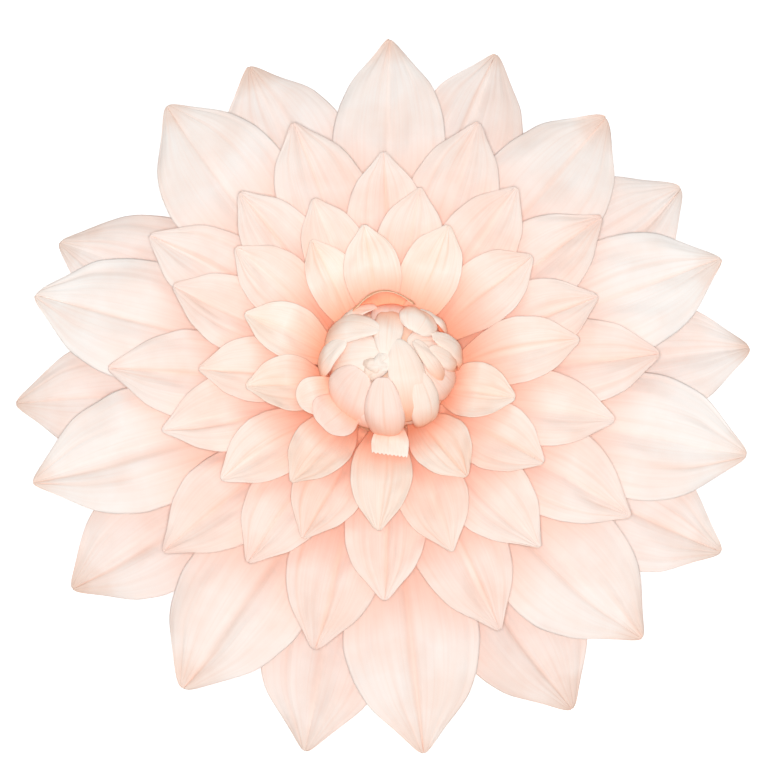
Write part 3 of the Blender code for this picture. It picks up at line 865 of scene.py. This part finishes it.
for index, spec in enumerate(PRESSED, 1):
    surface = pressed_surface(spec, BUD_SEED + index)
    place_bud_sheet(f"bud_petal_{index:02d}", surface, BUD_SHEET, paper_of(index))
for index, spec in enumerate(FREE, len(PRESSED) + 1):
    surface = free_surface(spec, BUD_SEED + index)
    place_bud_sheet(f"bud_petal_{index:02d}", surface, PAPER, paper_of(index))
for index, spec in enumerate(CURLS, 1):
    surface = pressed_surface(spec, CURL_SEED + index)
    place_bud_sheet(f"bud_curl_{index}", surface, PAPER, CURL_PAPER)


# The white table.
# The flower lies on its back on a matt white table. A small lamp hangs right behind the camera,
# which looks down from the near side, a broad weak one hangs beyond the far side, and white
# walls fill the shadows.

TABLE_SIZE, TABLE_WHITE = 8, 0.9
FLOOR_DROP = 0.0006  # of the table's face under the flower's back
FLOOR_GLOW = 0.45  # that the table adds where it is seen directly
ROOM_SHARE = 0.325  # of a full white surrounding, that lights the flower
BOUNCES = 12  # pale paper sends nearly all red light on, and so glows deep between the petals
CAMERA_HEIGHT, CAMERA_DISTANCE, CAMERA_TARGET = 77, 2.19, (0, 0, 0.0305)  # degrees over level
LENS, SENSOR = 150, 36  # in mm


class Lamp(NamedTuple):
    """A square lamp that looks at the flower's foot, hung with this turn and this tilt from
    straight up. Its share is of the light on a level white sheet at full brightness."""

    size: float
    distance: float
    turn: float
    tilt: float
    share: float


LAMPS = {
    "front_lamp": Lamp(size=0.18, distance=2.25, turn=180, tilt=13, share=0.66),
    "far_lamp": Lamp(size=1.2, distance=2.0, turn=5, tilt=26, share=0.07),
}

lens = bpy.data.cameras.new("photo_camera")
lens.lens, lens.sensor_width = LENS, SENSOR
camera = bpy.data.objects.new("photo_camera", lens)
height = math.radians(CAMERA_HEIGHT)
camera.location = (
    CAMERA_TARGET[0],
    CAMERA_TARGET[1] - CAMERA_DISTANCE * math.cos(height),
    CAMERA_TARGET[2] + CAMERA_DISTANCE * math.sin(height),
)
camera.rotation_euler = (math.pi / 2 - height, 0, 0)
bpy.context.scene.collection.objects.link(camera)
bpy.context.scene.camera = camera

for name, lamp in LAMPS.items():
    light = bpy.data.lights.new(name, "AREA")
    light.size = lamp.size
    light.energy = lamp.share * math.pi**2 * lamp.distance**2
    hung = bpy.data.objects.new(name, light)
    hung.location = lamp.distance * towards(lamp.turn, lamp.tilt)
    hung.rotation_euler = (-math.radians(lamp.tilt), 0, -math.radians(lamp.turn))
    bpy.context.scene.collection.objects.link(hung)


def seen_directly(tree):
    """1 for the camera's own rays and those that gloss or glass sends on, and else 0."""
    path = add(tree, "LightPath", {}).outputs
    seen = path["Is Camera Ray"]
    for ray in ("Is Glossy Ray", "Is Transmission Ray"):
        seen = add(tree, "Math", {0: seen, 1: path[ray]}, operation="MAXIMUM").outputs[0]
    return seen


room = bpy.data.worlds.new("white_room")
room.use_nodes = True
wall = room.node_tree.nodes["Background"]
wall.inputs["Color"].default_value = (1, 1, 1, 1)
strength = spread(room.node_tree, seen_directly(room.node_tree), 0, 1, ROOM_SHARE, 1)
room.node_tree.links.new(strength, wall.inputs["Strength"])
bpy.context.scene.world = room

table_top, tree, shader = finish("white_table", 0.9)
shader.inputs["Base Color"].default_value = (TABLE_WHITE, TABLE_WHITE, TABLE_WHITE, 1)
shader.inputs["Emission Color"].default_value = (1, 1, 1, 1)
glow = spread(tree, seen_directly(tree), 0, 1, 0, FLOOR_GLOW)
tree.links.new(glow, shader.inputs["Emission Strength"])
side = TABLE_SIZE / 2
corners = [(x * side, y * side, -FLOOR_DROP) for x, y in ((-1, -1), (1, -1), (1, 1), (-1, 1))]
top = bpy.data.meshes.new("table")
top.from_pydata(corners, [], [(0, 1, 2, 3)])
top.materials.append(table_top)
table = bpy.data.objects.new("table", top)
bpy.context.scene.collection.objects.link(table)

bpy.context.scene.view_settings.view_transform = "Standard"
bpy.context.scene.cycles.diffuse_bounces = BOUNCES
